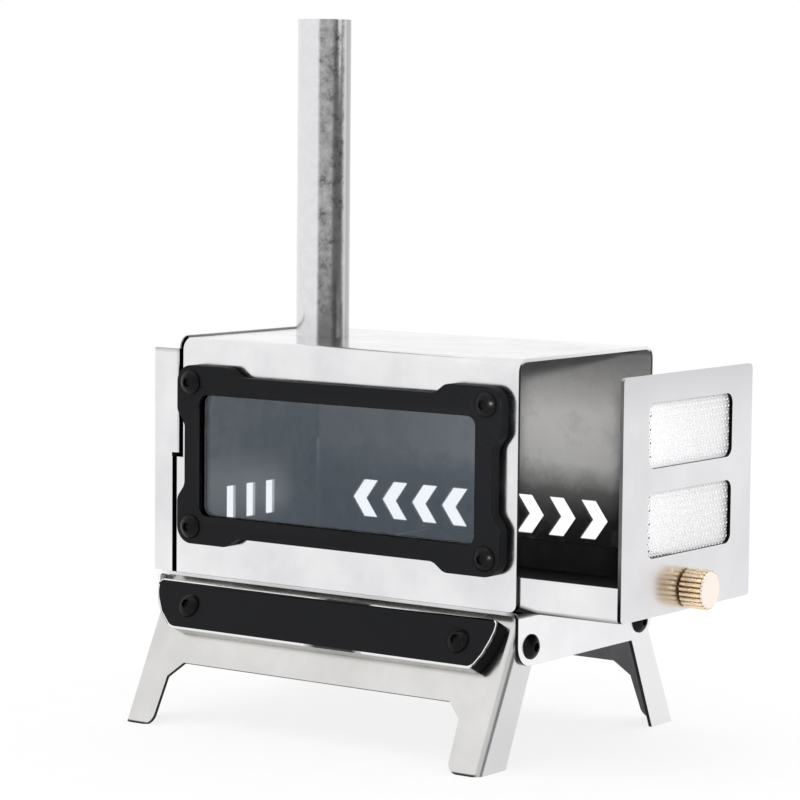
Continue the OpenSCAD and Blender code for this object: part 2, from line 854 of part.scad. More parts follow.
base_plate();
shell();
end_cover();
flue_collar();
chimney();
window_frame();
window_glass();
glass_seal();
frame_screws();
frame_nuts();
pivot_screws();
pivot_nuts();
drawer_tray();
drawer_front();
mesh_screen();
drawer_knob();
knob_screw();
front_leg();
front_bar();
front_bar_screws();
front_bar_nuts();
rear_leg();
rear_bar();
rear_bar_screws();
rear_bar_nuts();
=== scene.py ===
from math import cos, pi, radians, sin, sqrt

import bmesh
import bpy
from mathutils import Matrix, Vector


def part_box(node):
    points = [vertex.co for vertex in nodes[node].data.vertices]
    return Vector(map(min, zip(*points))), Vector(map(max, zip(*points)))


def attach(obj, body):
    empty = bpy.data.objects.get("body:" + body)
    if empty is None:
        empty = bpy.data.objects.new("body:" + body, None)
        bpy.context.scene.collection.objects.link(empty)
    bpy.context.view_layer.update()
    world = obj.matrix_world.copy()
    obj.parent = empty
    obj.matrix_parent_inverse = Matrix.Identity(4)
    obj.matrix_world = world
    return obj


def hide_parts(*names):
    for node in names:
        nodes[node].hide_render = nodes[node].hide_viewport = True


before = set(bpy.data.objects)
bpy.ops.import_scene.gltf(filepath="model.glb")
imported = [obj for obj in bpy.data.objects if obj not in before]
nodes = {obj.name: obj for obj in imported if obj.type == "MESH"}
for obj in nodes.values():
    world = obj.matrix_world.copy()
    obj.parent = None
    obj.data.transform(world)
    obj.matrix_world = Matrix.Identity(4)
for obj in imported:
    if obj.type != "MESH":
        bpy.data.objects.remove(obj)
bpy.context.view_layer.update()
scene = bpy.context.scene
scene.view_settings.view_transform = "Standard"

# Camera: a long lens a little above the firebox and to the right of the window. It swings about a
# point inside the stove, and its place comes from fitting the photograph's corners and screws.
target = (-0.022005, 0, 0.1026)
distance = 0.9761
bearing = radians(36.01)
tilt = radians(84.69)
roll = radians(0.53)
eye = bpy.data.cameras.new("camera")
eye.lens = 138.85
eye.sensor_width = 36
eye.clip_end = 30
camera = bpy.data.objects.new("camera", eye)
scene.collection.objects.link(camera)
swing = Matrix.Rotation(bearing, 4, "Z") @ Matrix.Rotation(tilt, 4, "X") @ Matrix.Rotation(roll, 4, "Z")
camera.matrix_world = Matrix.Translation(target) @ swing @ Matrix.Translation((0, 0, distance))
scene.camera = camera


# Room: an even white studio. A wide grey flag stands to the right of the camera and a dark one in its
# right half, so that tube and rounded edges have something to reflect. The camera sees neither.
# Colours are written as sRGB hex, and tint turns them into linear light.
def tint(code):
    parts = [int(code[i:i + 2], 16) / 255 for i in (1, 3, 5)]
    return [p / 12.92 if p <= 0.04045 else ((p + 0.055) / 1.055) ** 2.4 for p in parts] + [1]


# Adds one shader node and gives its outputs. An input that is another node's output is linked, any
# other is set. A ramp gets its stops as pairs of a position and a colour or a number. A MapRange goes
# from inputs 1 and 2 to inputs 3 and 4. A Mix of colours has them in inputs 6 and 7 and in output 2.
def add(tree, kind, inputs=(), stops=(), **settings):
    made = tree.nodes.new("ShaderNode" + kind)
    for name, value in settings.items():
        setattr(made, name, value)
    for key, value in dict(inputs).items():
        if isinstance(value, bpy.types.NodeSocket):
            tree.links.new(value, made.inputs[key])
        else:
            made.inputs[key].default_value = value
    while stops and len(made.color_ramp.elements) < len(stops):
        made.color_ramp.elements.new(0.5)
    for i, (place, value) in enumerate(stops):
        stop = made.color_ramp.elements[i]
        stop.position = place
        stop.color = tint(value) if isinstance(value, str) else [value, value, value, 1]
    return made.outputs


world = bpy.data.worlds.new("white_room")
scene.world = world
world.use_nodes = True
room = world.node_tree
gaze = add(room, "TexCoord")["Generated"]
flags = []
for turn, stops in [(-21, [(0.57, 1.0), (0.63, 0.74)]), (10, [(0.86, 1.0), (0.95, 0.31)])]:
    middle = (cos(radians(turn)), sin(radians(turn)), -0.05)
    aim = add(room, "VectorMath", {0: gaze, 1: middle}, operation="DOT_PRODUCT")["Value"]
    flags.append(add(room, "ValToRGB", {0: aim}, stops)[0])
both = add(room, "Math", {0: flags[0], 1: flags[1]}, operation="MULTIPLY")[0]
seen = add(room, "LightPath")["Is Camera Ray"]
shown = add(room, "Mix", {0: seen, 6: both, 7: tint("#ffffff")}, data_type="RGBA")[2]
room.links.new(shown, room.nodes["Background"].inputs["Color"])
room.nodes["Background"].inputs["Strength"].default_value = 1.0


# Floor: a round table top covered with pale paper. The camera, mirrors and glass see it nearly white
# with a faint shadow, and to all other light it is plain white paper.
def material(name):
    made = bpy.data.materials.new(name)
    made.use_nodes = True
    return made, made.node_tree, made.node_tree.nodes["Principled BSDF"].inputs


mm = 0.001
table_r = 750 * mm
grit_size = 11.1 * mm
top = bmesh.new()
bmesh.ops.create_circle(top, cap_ends=True, radius=table_r, segments=96)
ground = bpy.data.meshes.new("floor")
top.to_mesh(ground)
top.free()
table = bpy.data.objects.new("floor", ground)
scene.collection.objects.link(table)
paper, tree, sockets = material("pale_table")
spot = add(tree, "TexCoord")["Object"]
grit = add(tree, "TexNoise", {"Vector": spot, "Scale": 1 / grit_size, "Detail": 3.0})[0]
path = add(tree, "LightPath")
viewed = path["Is Camera Ray"]
for ray in ("Is Glossy Ray", "Is Transmission Ray"):
    viewed = add(tree, "Math", {0: viewed, 1: path[ray]}, operation="MAXIMUM")[0]
lit = add(tree, "ValToRGB", {0: grit}, [(0.3, "#f4f4f4"), (0.7, "#f9f9f9")])[0]
pale = add(tree, "ValToRGB", {0: grit}, [(0.3, "#767676"), (0.7, "#7a7a7a")])[0]
tree.links.new(add(tree, "Mix", {0: viewed, 6: lit, 7: pale}, data_type="RGBA")[2], sockets["Base Color"])
tree.links.new(add(tree, "MapRange", {0: viewed, 4: 0.82})[0], sockets["Emission Strength"])
sockets["Roughness"].default_value = 0.9
sockets["Specular IOR Level"].default_value = 0.0
sockets["Emission Color"].default_value = tint("#ffffff")
ground.materials.append(paper)


# Lamps: a wide key from the upper left front, a weak one from the right, and a narrow one close to
# the camera that shines into the open end of the firebox.
def hang(lamp, place, aim):
    light = bpy.data.objects.new(lamp.name, lamp)
    light.location = place
    light.rotation_euler = (Vector(aim) - light.location).to_track_quat("-Z", "Y").to_euler()
    scene.collection.objects.link(light)


for name, place, size, power in [("key", (-0.2, -0.5, 1.6), 1.2, 2.0), ("side", (1.1, 0.4, 0.6), 0.5, 0.8)]:
    lamp = bpy.data.lights.new(name, "AREA")
    lamp.shape = "DISK"
    lamp.size = size
    lamp.energy = power
    hang(lamp, place, (0, 0, 0.1))
snoot = bpy.data.lights.new("snoot", "SPOT")
snoot.energy = 46
snoot.spot_size = radians(5.2)
snoot.spot_blend = 0.4
snoot.shadow_soft_size = 0.03
hang(snoot, (0.549, -0.786, 0.240), (0.012, 0.03, 0.085))


# Base plate: 1.2 mm stainless, cut by laser and folded down at both ends, where the legs hang.
# Rolled steel is bright, with wide faint clouds and smudges in its gloss. Its grain is too fine to
# show, so it is drawn at half a millimetre.
def stainless(name, low, high, gloss, satin):
    cloud_size = 38.5 * mm
    smudge_size = 14.3 * mm
    grain_size = 0.556 * mm
    made, tree, sockets = material(name)
    spot = add(tree, "TexCoord")["Object"]
    clouds = {"Vector": spot, "Scale": 1 / cloud_size, "Detail": 5.0, "Roughness": 0.6}
    smudges = {"Vector": spot, "Scale": 1 / smudge_size, "Detail": 6.0, "Roughness": 0.65}
    cloud = add(tree, "TexNoise", clouds)[0]
    smudge = add(tree, "TexNoise", smudges)[0]
    grain = add(tree, "TexNoise", {"Vector": spot, "Scale": 1 / grain_size, "Detail": 2.0})[0]
    hue = add(tree, "ValToRGB", {0: cloud}, [(0.32, low), (0.68, high)])[0]
    rough = add(tree, "ValToRGB", {0: smudge}, [(0.35, gloss), (0.75, satin)])[0]
    tree.links.new(hue, sockets["Base Color"])
    tree.links.new(rough, sockets["Roughness"])
    sockets["Metallic"].default_value = 1.0
    bump = add(tree, "Bump", {"Strength": 0.02, "Distance": 0.1 * mm, "Height": grain})[0]
    tree.links.new(bump, sockets["Normal"])
    return made


# Paints a patch of a finish. A limit names an axis of the object and the two places between which
# the paint comes in, and the patch lies where all limits meet. It may be duller than the rest.
def painted(made, paint, *limits, patch=1.0, dull=0.0):
    tree = made.node_tree
    skin = tree.nodes["Principled BSDF"].inputs
    axes = add(tree, "SeparateXYZ", {0: add(tree, "TexCoord")["Object"]})
    for axis, start, stop in limits:
        edge = add(tree, "MapRange", {0: axes[axis], 1: start, 2: stop})[0]
        patch = add(tree, "Math", {0: edge, 1: patch}, operation="MULTIPLY")[0]
    under = skin["Base Color"].links[0].from_socket
    over = tint(paint) if isinstance(paint, str) else paint
    tree.links.new(add(tree, "Mix", {0: patch, 6: under, 7: over}, data_type="RGBA")[2], skin["Base Color"])
    if dull:
        gloss = skin["Roughness"].links[0].from_socket
        rough = add(tree, "Math", {0: patch, 1: dull, 2: gloss}, operation="MULTIPLY_ADD")[0]
        tree.links.new(rough, skin["Roughness"])


# A closed copy of a node's mesh, with its flat faces made whole.
def copied(node):
    shape = bmesh.new()
    shape.from_mesh(nodes[node].data)
    bmesh.ops.remove_doubles(shape, verts=shape.verts, dist=1e-6)
    bmesh.ops.dissolve_limit(shape, angle_limit=radians(0.5), verts=shape.verts, edges=shape.edges)
    bmesh.ops.recalc_face_normals(shape, faces=shape.faces)
    return shape


# Breaks edges by a round and gives the faces of that round.
def broken(shape, edges, width, segments=2, clamp=True, profile=0.5):
    return bmesh.ops.bevel(shape, geom=edges, offset=width, offset_type="OFFSET", segments=segments,
                           profile=profile, affect="EDGES", material=-1, clamp_overlap=clamp)["faces"]


# A folded sheet keeps the shape of its node. Its cut edges are broken by a small round, those on the
# sheet's outline have a finish of their own, and so has the side that looks at the middle. Faces
# that join without a sharp edge form one group, and a group no wider than the gauge is a cut edge.
def folded(node, body, gauge, outer, inner, trim, outline, middle, rounding=0.16 * mm):
    outer_slot, trim_slot, inner_slot, outline_slot = range(4)
    shape = copied(node)
    sharp = {e for e in shape.edges if len(e.link_faces) == 2 and e.calc_face_angle() > radians(35)}
    low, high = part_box(node)
    loose = set(shape.faces)
    while loose:
        group = []
        queue = [loose.pop()]
        while queue:
            group.append(queue.pop())
            for edge in group[-1].edges:
                for face in edge.link_faces:
                    if edge not in sharp and face in loose:
                        loose.remove(face)
                        queue.append(face)
        rim = sum(e.calc_length() for f in group for e in f.edges if e in sharp)
        area = sum(f.calc_area() for f in group)
        facing = sum(f.normal.dot(f.calc_center_median() - Vector(middle)) * f.calc_area() for f in group)
        points = [v.co for f in group for v in f.verts]
        reach = min(min(high[i] - p[i], p[i] - low[i]) for p in points for i in (1, 2))
        kind = outer_slot if facing > 0 else inner_slot
        if 2 * area < 1.25 * gauge * rim:
            kind = outline_slot if reach < 1e-5 else trim_slot
        for face in group:
            face.material_index = kind
    broken(shape, list(sharp), rounding)
    return settled(shape, node + "_sheet", body, (outer, trim, inner, outline), node)


# Makes a bmesh into a piece that rides on a body and stands for a node of the frame.
def fitted(shape, name, body, finishes, node):
    mesh = bpy.data.meshes.new(name)
    shape.to_mesh(mesh)
    shape.free()
    for finish in finishes:
        mesh.materials.append(finish)
    piece = bpy.data.objects.new(name, mesh)
    scene.collection.objects.link(piece)
    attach(piece, body)
    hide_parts(node)
    return piece


# A piece whose normals are weighted by the areas of its faces, so that broad faces stay flat.
def settled(shape, name, body, finishes, node):
    for face in shape.faces:
        face.smooth = True
    shape.normal_update()
    normals = [sum((f.normal * f.calc_area() for f in v.link_faces), Vector()).normalized()
               for v in shape.verts]
    piece = fitted(shape, name, body, finishes, node)
    piece.data.normals_split_custom_set_from_vertices(normals)
    return piece


clean = stainless("clean_stainless", "#eaeaec", "#f8f8f9", 0.12, 0.22)
plain = stainless("leg_stainless", "#cfcecc", "#e2e1df", 0.14, 0.26)
base_cut = stainless("base_cut_edge", "#c8c8ca", "#e2e2e4", 0.25, 0.40)
# The cut edges are painted black at the right end, a painted shade, and white at the left, a painted
# highlight.
painted(base_cut, "#1c1c1e", ("X", 0.044, 0.048))
painted(base_cut, "#f8f8f9", ("X", -0.084, -0.088))
folded("base_plate", "stove", 1.2 * mm, clean, plain, base_cut, base_cut, (-0.02, 0, 0.02))

# Shell: 1 mm stainless folded over as an inverted U, with window, vents and flue hole cut by laser.
# It stands on the base. Inside, the steel is greyed by heat, painted darker just under the top as painted
# shade, and black towards the tray, partly soot and partly painted shade. Its cut edges are dark, partly
# laser oxide and partly painted shade, and are painted bright along the top as a painted highlight.
shell_low, shell_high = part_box("shell")
blot_size = 13.3 * mm
blots = {"Scale": 1 / blot_size, "Detail": 7.0, "Roughness": 0.68}
rolled = stainless("rolled_stainless", "#dcdcde", "#f2f2f3", 0.12, 0.24)
# Cut edges are dark, partly laser oxide and partly painted shade.
cut = stainless("laser_cut_edge", "#1e1e20", "#323234", 0.35, 0.50)
shell_cut = stainless("shell_cut_edge", "#262628", "#3e3e40", 0.35, 0.50)
# The shell's outline is painted bright along the top, a painted highlight.
painted(shell_cut, "#f4f4f5", ("Z", shell_high[2] - 1.8 * mm, shell_high[2] - 1.1 * mm))
fired_and_shaded, tree, sockets = material("heat_greyed_and_shaded_stainless")
spot = add(tree, "TexCoord")["Object"]
height = add(tree, "SeparateXYZ", {0: spot})["Z"]
blot = add(tree, "TexNoise", {"Vector": spot, **blots})[0]
rise = add(tree, "MapRange", {0: height, 1: shell_low[2], 2: shell_high[2], 3: -0.07, 4: 0.93})[0]
stain = add(tree, "Math", {0: blot, 1: 0.14, 2: rise}, operation="MULTIPLY_ADD")[0]
# Greys run from black at the tray, soot and painted shade, to a darker top that is painted shade.
greys = [(0.10, "#0a0a0a"), (0.25, "#1d1d1d"), (0.36, "#525251"),
         (0.49, "#a9a8a6"), (0.70, "#b8b6b3"), (0.92, "#949392")]
tree.links.new(add(tree, "ValToRGB", {0: stain}, greys)[0], sockets["Base Color"])
mottle = add(tree, "ValToRGB", {0: blot}, [(0.36, 0.30), (0.52, 0.0)])[0]
painted(fired_and_shaded, "#6e6d6b", patch=mottle)
tree.links.new(add(tree, "ValToRGB", {0: blot}, [(0.3, 0.34), (0.7, 0.5)])[0], sockets["Roughness"])
sockets["Metallic"].default_value = 0.35
shell = folded("shell", "stove", 1.0 * mm, rolled, fired_and_shaded, cut, shell_cut, (-0.015, 0, 0.075), 0.04 * mm)
# The back panel's left edge is pressed against the cover, so that no light shows past it.
edge_x = -0.0816
tab_x = -0.0822
for vertex in shell.data.vertices:
    if vertex.co.y > 0.03 and vertex.co.x < edge_x:
        vertex.co.x -= 0.3 * mm if vertex.co.x < tab_x else 0.1 * mm

# End cover: 1 mm stainless with two flanges turned out, closing the left end. Heat has greyed its
# wall. A paler patch around the slots is a painted glow of light, and the seams beside the shell and
# its top bend are painted dark as painted shade.
seam_shade_black = "#0b0b0c"
bend_x = ("X", -0.0838, -0.0833)
flank_y = ("Y", -0.03299, -0.03301)
crown_z = (0.1165, 0.1180)
cover = stainless("cover_stainless", "#dcdcde", "#f2f2f3", 0.12, 0.24)
tree = cover.node_tree
blot = add(tree, "TexNoise", {"Vector": add(tree, "TexCoord")["Object"], **blots})[0]
grey = add(tree, "ValToRGB", {0: blot}, [(0.3, "#6f6e6d"), (0.7, "#9c9b99")])[0]
wall = [("Y", -0.0362, -0.0352), ("Y", 0.0370, 0.0368), bend_x, ("Z", *crown_z[::-1])]
painted(cover, grey, *wall, dull=0.25)
# The seams beside the shell are painted black as painted shade.
painted(cover, seam_shade_black, ("X", -0.08201, -0.08199), flank_y, ("Z", 0.08469, 0.08471), dull=0.4)
painted(cover, seam_shade_black, ("X", -0.08446, -0.08444), flank_y, ("Z", 0.08471, 0.08469), dull=0.4)
# The top bend is painted part way to black, a painted shade.
painted(cover, seam_shade_black, ("Z", *crown_z), patch=0.45, dull=0.4)
# A paler patch around the slots, a painted glow of light.
slot_glow = [("Y", 0.023, 0.013), ("Y", -0.033, -0.029), ("Z", 0.083, 0.074), ("Z", 0.058, 0.065), bend_x]
painted(cover, "#b0afad", *slot_glow)
folded("end_cover", "stove", 1.0 * mm, cover, cover, cover, cover, (-0.2, 0, 0.08))

# Flue collar: a short socket of dark grey steel, welded under the top.
# The chimney's foot stands in it.
# Dark grey steel; on the legs' inner sides this dark grey is painted shade.
dull = stainless("dark_grey_stainless", "#464547", "#5e5d60", 0.30, 0.45)
nodes["flue_collar"].data.materials[0] = dull

# Chimney: a drawn steel tube with softened lips, which lifts out of its collar. It is clean on the
# left and stained down its right front, and its right edge is painted darker as a painted reflection.
# Places here are in millimetres from the middle of the firebox floor.
shell_half = 64 * mm
here = Matrix.Translation((shell_high[0] - shell_half, 0, shell_low[2])) @ Matrix.Scale(mm, 4)


# Turns a form: rings of (radius, height) about the local Z axis, each drawn out of the one before.
# A radius may be a function of the angle, for sockets, flats and knurls, and so may a whole ring.
def turned(shape, place, rings, count, closed=False):
    loop = bmesh.ops.create_circle(shape, radius=1.0, segments=count)["verts"]
    angle = {v: 2 * pi * i / count for i, v in enumerate(loop)}
    loops = []
    for ring in rings + rings[:1] if closed else rings:
        if loops:
            chain = dict.fromkeys(e for v in loop for e in v.link_edges if e.other_vert(v) in angle)
            grown = bmesh.ops.extrude_edge_only(shape, edges=list(chain))["geom"]
            before = angle
            loop = [v for v in grown if isinstance(v, bmesh.types.BMVert)]
            roots = [next(e.other_vert(v) for e in v.link_edges if e.other_vert(v) in before) for v in loop]
            angle = {v: before[root] for v, root in zip(loop, roots)}
        loops.append(loop)
        for v, a in angle.items():
            if callable(ring):
                point = ring(a)
            else:
                radius = ring[0](a) if callable(ring[0]) else ring[0]
                point = (radius * cos(a), radius * sin(a), ring[1])
            v.co = place @ Vector(point)
    if closed:
        bmesh.ops.remove_doubles(shape, verts=loops[0] + loops[-1], dist=1e-7)
        return
    for loop, ring in zip(loops, rings):
        if not callable(ring) and ring[0] == 0:
            bmesh.ops.pointmerge(shape, verts=loop, merge_co=place @ Vector((0, 0, ring[1])))


# A turned piece is shaded smooth, with its sharp rims kept.
def finished(shape, name, body, finish, node, limit=35):
    bmesh.ops.recalc_face_normals(shape, faces=shape.faces)
    for face in shape.faces:
        face.smooth = True
    for edge in shape.edges:
        edge.smooth = len(edge.link_faces) == 2 and edge.calc_face_angle() < radians(limit)
    fitted(shape, name, body, (finish,), node)


flue_x = -37.2
wear_size = 3.85 * mm
tube, tree, sockets = material("drawn_tube_steel")
spot = add(tree, "TexCoord")["Object"]
around = add(tree, "VectorMath", {0: spot, 1: here @ Vector((flue_x, 0, 0))}, operation="SUBTRACT")[0]
facing = add(tree, "VectorMath", {0: around, 1: (0.83, -0.56, 0)}, operation="DOT_PRODUCT")["Value"]
stained = add(tree, "MapRange", {0: facing, 1: 7.1 * mm, 2: 7.6 * mm})[0]
scuffs = {"Vector": spot, "Scale": 1 / wear_size, "Detail": 8.0, "Roughness": 0.75}
wear = add(tree, "TexNoise", scuffs)[0]
stains = [(0.34, "#5c5c5d"), (0.46, "#a8a8a9"), (0.62, "#c6c6c7"), (0.75, "#dadadc")]
stain = add(tree, "ValToRGB", {0: wear}, stains)[0]
pure = add(tree, "ValToRGB", {0: wear}, [(0.3, "#dcdcde"), (0.7, "#e6e6e8")])[0]
steel = add(tree, "Mix", {0: stained, 6: pure, 7: stain}, data_type="RGBA")[2]
tree.links.new(steel, sockets["Base Color"])
tree.links.new(add(tree, "ValToRGB", {0: wear}, [(0.3, 0.22), (0.7, 0.14)])[0], sockets["Roughness"])
sockets["Metallic"].default_value = 1.0
smoked = add(tree, "Math", {0: stained, 1: 0.75}, operation="MULTIPLY")[0]
painted(tube, "#666667", ("Z", 0.155, 0.122), patch=smoked)
# The tube's right edge is painted darker, a painted dark reflection.
painted(tube, "#b2b2b4", ("Y", -1.0 * mm, 1.0 * mm), ("X", -0.0475, -0.0465))
section = [
    (7.95, 65), (8.35, 65), (8.47, 65.06), (8.5, 65.2), (8.5, 120), (8.5, 175.8), (8.47, 175.94), (8.35, 176),
    (7.95, 176), (7.75, 175.94), (7.7, 175.8), (7.7, 120), (7.7, 65.2), (7.75, 65.06)]
shape = bmesh.new()
turned(shape, here @ Matrix.Translation((flue_x, 0, 0)), section, 96, closed=True)
finished(shape, "chimney_drawn", "chimney_tube", tube, "chimney")

# Window frame: a thick plate with four lobes, screwed to the shell and coated matte black. The coat
# is a fine powder, rubbed to grey along the edge of the opening, and on the sides it is a darker
# copy with little gloss, a painted shade. The powder is finer than shows, so it is drawn at nearly
# a millimetre.
powder_size = 0.909 * mm
rub_size = 2.0 * mm
coat, tree, sockets = material("matte_black_coat")
spot = add(tree, "TexCoord")["Object"]
fleck = add(tree, "TexNoise", {"Vector": spot, "Scale": 1 / powder_size, "Detail": 3.0})[0]
hue = add(tree, "ValToRGB", {0: fleck}, [(0.3, "#08090c"), (0.7, "#0e0f13")])[0]
tree.links.new(hue, sockets["Base Color"])
tree.links.new(add(tree, "ValToRGB", {0: fleck}, [(0.3, 0.34), (0.7, 0.44)])[0], sockets["Roughness"])
sockets["Specular IOR Level"].default_value = 0.16
bump = add(tree, "Bump", {"Strength": 0.05, "Distance": 0.1 * mm, "Height": fleck})[0]
tree.links.new(bump, sockets["Normal"])
# A darker copy of the coat with little gloss for the sides of frame and bars, a painted shade.
shaded_flank_coat, tree, sockets = material("shaded_black_coat")
spot = add(tree, "TexCoord")["Object"]
fleck = add(tree, "TexNoise", {"Vector": spot, "Scale": 1 / powder_size, "Detail": 3.0})[0]
hue = add(tree, "ValToRGB", {0: fleck}, [(0.3, "#060709"), (0.7, "#0a0b0e")])[0]
tree.links.new(hue, sockets["Base Color"])
sockets["Roughness"].default_value = 0.5
sockets["Specular IOR Level"].default_value = 0.03
rubbed, tree, sockets = material("rubbed_coat")
spot = add(tree, "TexCoord")["Object"]
fleck = add(tree, "TexNoise", {"Vector": spot, "Scale": 1 / rub_size, "Detail": 4.0})[0]
hue = add(tree, "ValToRGB", {0: fleck}, [(0.4, "#3c3d40"), (0.65, "#77787b")])[0]
tree.links.new(hue, sockets["Base Color"])
sockets["Metallic"].default_value = 0.8
sockets["Roughness"].default_value = 0.35


# A coated plate: corners across its thickness are rounded first, then the outline of its outer face
# gets a chamfer and its opening a small one, both a little fuller than a round. The outer face is the
# furthest along a direction.
def chamfered(node, body, out, corner, chamfer, inset, edge, end, under, clamp):
    face_slot, edge_slot, end_slot, flank_slot, under_slot, opening_slot = range(6)
    opening_chamfer = 0.2 * mm
    fuller = 0.6
    shape = copied(node)
    out = Vector(out).normalized()
    across = [e for e in shape.edges if len(e.link_faces) == 2 and e.calc_face_angle() > radians(20)
              and abs((e.verts[1].co - e.verts[0].co).normalized().dot(out)) > 0.99]
    broken(shape, across, corner, 5)
    level = max(v.co.dot(out) for v in shape.verts) - 1e-5
    low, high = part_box(node)
    centre = (Vector(low) + Vector(high)) / 2
    bands = []
    for inner, width, count in [(False, chamfer, 3), (True, opening_chamfer, 2)]:
        rim = [e for e in shape.edges if min(v.co.dot(out) for v in e.verts) > level
               and len(e.link_faces) == 2 and e.calc_face_angle() > radians(35)
               and inset((e.verts[0].co + e.verts[1].co) / 2 - centre) == inner]
        bands.append(broken(shape, rim, width, count, clamp, fuller))
    shape.normal_update()
    for face in shape.faces:
        if abs(face.normal.dot(out)) < 0.3:
            face.material_index = under_slot if abs(face.normal.z) > 0.8 else flank_slot
    for face in bands[0]:
        if face.is_valid and abs(face.normal.x) < 0.35:
            face.material_index = edge_slot
        elif face.is_valid:
            face.material_index = end_slot if face.normal.x > 0 else face_slot
    for face in bands[1]:
        face.material_index = opening_slot
    settled(shape, node + "_coated", body, (coat, edge, end, shaded_flank_coat, under, rubbed), node)


# Tells the rim of the opening, by its distance from the frame's middle.
def in_window(offset):
    return abs(offset.x) < 57.5 * mm and abs(offset.z) < 24.5 * mm


chamfered("window_frame", "stove", (0, -1, 0), 1.2 * mm, 0.7 * mm, in_window, coat, coat, shaded_flank_coat, True)

# Window pane: clear heat-proof glass with a polished edge, clamped between frame and shell. A faint
# haze makes its gloss uneven.
haze_size = 25 * mm
glass, tree, sockets = material("heat_proof_glass")
spot = add(tree, "TexCoord")["Object"]
haze = add(tree, "TexNoise", {"Vector": spot, "Scale": 1 / haze_size, "Detail": 4.0})[0]
tree.links.new(add(tree, "ValToRGB", {0: haze}, [(0.3, 0.01), (0.8, 0.05)])[0], sockets["Roughness"])
sockets["Base Color"].default_value = tint("#eff3fa")
sockets["Specular Tint"].default_value = tint("#daeeff")
sockets["Transmission Weight"].default_value = 1.0
sockets["IOR"].default_value = 1.56
shape = copied("window_glass")
broken(shape, [e for e in shape.edges if e.calc_face_angle() > radians(35)], 0.25 * mm)
settled(shape, "window_pane", "stove", (glass,), "window_glass")

# Seal behind the pane: a thin ring of pressed fibre, matte and flecked.
# The strands are finer than shows, so they are drawn at two thirds of a millimetre.
fibre_size = 0.667 * mm
fibre, tree, sockets = material("pressed_fibre")
spot = add(tree, "TexCoord")["Object"]
fleck = add(tree, "TexNoise", {"Vector": spot, "Scale": 1 / fibre_size, "Detail": 4.0})[0]
hue = add(tree, "ValToRGB", {0: fleck}, [(0.3, "#7d776b"), (0.7, "#a59f92")])[0]
tree.links.new(hue, sockets["Base Color"])
sockets["Roughness"].default_value = 0.9
nodes["glass_seal"].data.materials[0] = fibre

# Drawer tray: 1 mm stainless folded up on four sides, sliding on the base. Outside it is bright, with
# a dark line of painted shade along its foot that thickens towards the shell. Inside it has a matte
# coat of soot with a little ash.
ash_size = 6.25 * mm
tray_steel = stainless("tray_stainless", "#dcdcde", "#f0f0f1", 0.12, 0.24)
tree = tray_steel.node_tree
axes = add(tree, "SeparateXYZ", {0: add(tree, "TexCoord")["Object"]})
# A dark line of painted shade along the tray's foot, thicker towards the shell, fading to the right.
brink = add(tree, "MapRange", {0: axes["X"], 1: 0.0485, 2: 0.0550, 3: 0.0482, 4: 0.0470})[0]
above = add(tree, "Math", {0: axes["Z"], 1: brink}, operation="SUBTRACT")[0]
line = add(tree, "MapRange", {0: above, 1: 1.0 * mm, 2: -0.2 * mm})[0]
fading = add(tree, "MapRange", {0: axes["X"], 1: 0.055, 2: 0.083, 3: 1.0, 4: 0.6})[0]
foot_shade = add(tree, "Math", {0: line, 1: fading}, operation="MULTIPLY")[0]
painted(tray_steel, "#232324", patch=foot_shade)
soot, tree, sockets = material("sooty_steel")
spot = add(tree, "TexCoord")["Object"]
ash = add(tree, "TexNoise", {"Vector": spot, "Scale": 1 / ash_size, "Detail": 8.0, "Roughness": 0.7})[0]
ashes = [(0.4, "#0a0a0b"), (0.7, "#171718"), (0.85, "#2b2b2b")]
tree.links.new(add(tree, "ValToRGB", {0: ash}, ashes)[0], sockets["Base Color"])
sockets["Roughness"].default_value = 0.6
sockets["Specular IOR Level"].default_value = 0.2
folded("drawer_tray", "drawer", 1.0 * mm, tray_steel, soot, tray_steel, cut, (0.025, 0, 0.055))

# Drawer front: 1.2 mm stainless, held on the tray by the knob's screw. It is brushed, so that what
# stands before it shows only as a blur, and it is painted darker towards the top as painted shade.
# Its sheared outline is grey, painted black at the foot as painted shade and bright along the top as
# a painted highlight. The edges of its two windows are painted black as painted shade.
brushed = stainless("brushed_stainless", "#dddcde", "#eae9eb", 0.20, 0.28)
# Painted darker towards the top, a painted shade.
painted(brushed, "#cdccce", ("Z", 0.104, 0.1195), patch=0.8)
sheared = stainless("sheared_edge", "#5a5a5c", "#7c7c7e", 0.25, 0.40)
# The outline is painted bright along the top as a painted highlight, and black at the foot as painted shade.
painted(sheared, "#e8e8ea", ("Z", 0.1170, 0.1185))
painted(sheared, "#141415", ("Z", 0.066, 0.052))
# The edges of the two windows are painted black as painted shade.
vent_edge_shade = stainless("shaded_vent_edge", "#0c0c0d", "#171718", 0.45, 0.60)
folded("drawer_front", "drawer", 1.2 * mm, brushed, fired_and_shaded, vent_edge_shade, sheared, (0, 0, 0.08))

# Mesh behind the two windows: expanded steel, rows of small eyes set off by half a step, bright and
# a little rough. Its lengths are in millimetres.
mesh_w = 54
mesh_h = 51.7
mesh_left = -25.9
mesh_foot = 14.6
mesh_x = 98.5
columns = 30
rows = 26
wire_size = 1.25 * mm
wire, tree, sockets = material("bright_mesh_wire")
spot = add(tree, "TexCoord")["Object"]
fleck = add(tree, "TexNoise", {"Vector": spot, "Scale": 1 / wire_size, "Detail": 3.0})[0]
hue = add(tree, "ValToRGB", {0: fleck}, [(0.3, "#f0f0f2"), (0.7, "#fafafb")])[0]
tree.links.new(hue, sockets["Base Color"])
tree.links.new(add(tree, "ValToRGB", {0: fleck}, [(0.3, 0.45), (0.7, 0.6)])[0], sockets["Roughness"])
sockets["Metallic"].default_value = 0.4


